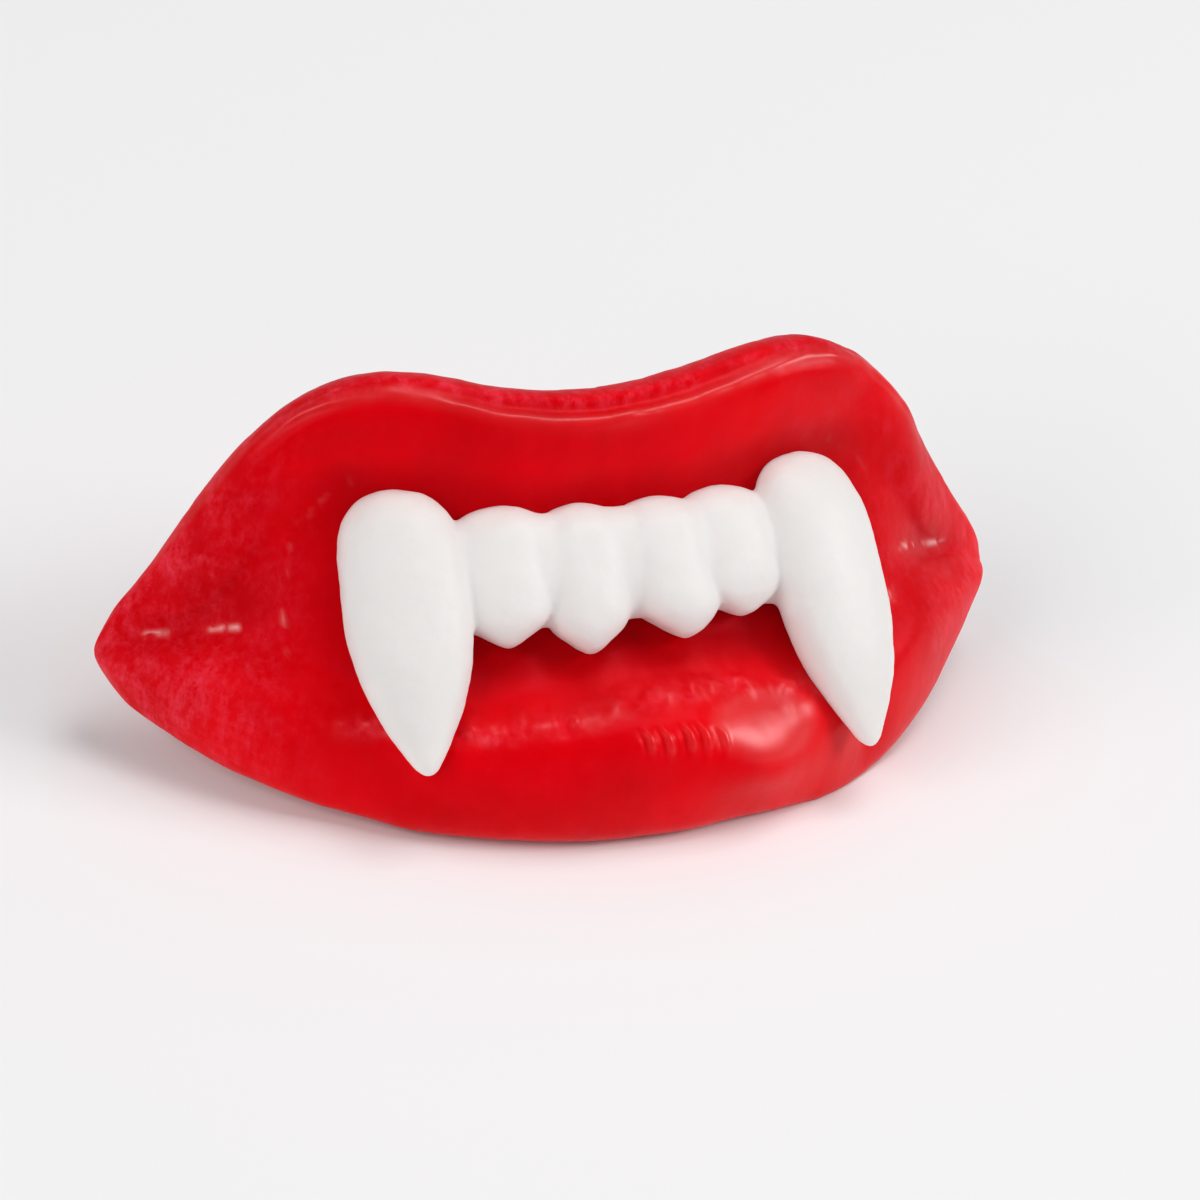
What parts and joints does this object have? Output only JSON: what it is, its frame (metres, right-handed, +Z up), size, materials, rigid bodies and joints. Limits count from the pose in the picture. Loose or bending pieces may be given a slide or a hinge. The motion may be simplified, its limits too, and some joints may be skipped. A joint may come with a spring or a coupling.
{
  "type": "vampire fang wax lips",
  "caption": "Novelty wax lips with a white vampire tooth strip across the mouth and a bite tab behind to hold them in the teeth.",
  "frame": {"origin": "middle of the bounding box's foot, on the surface that the lips stand on by themselves", "axes": "+X across the lips, -Y the way the lips face, +Z up; the lips lean back from upright, as they stand on the lower lip and the tab"},
  "size_m": [0.076, 0.0316, 0.0328],
  "materials": {
    "lip_wax": "red wax, satin, faintly mottled, soft highlights",
    "tooth_wax": "white wax, satin, slightly translucent",
    "tab_wax": "red wax, rougher where it was trimmed"
  },
  "bodies": {
    "root": {"lips_shell": "lip_wax", "teeth_row": "tooth_wax", "bite_tab": "tab_wax"}
  },
  "joints": []
}
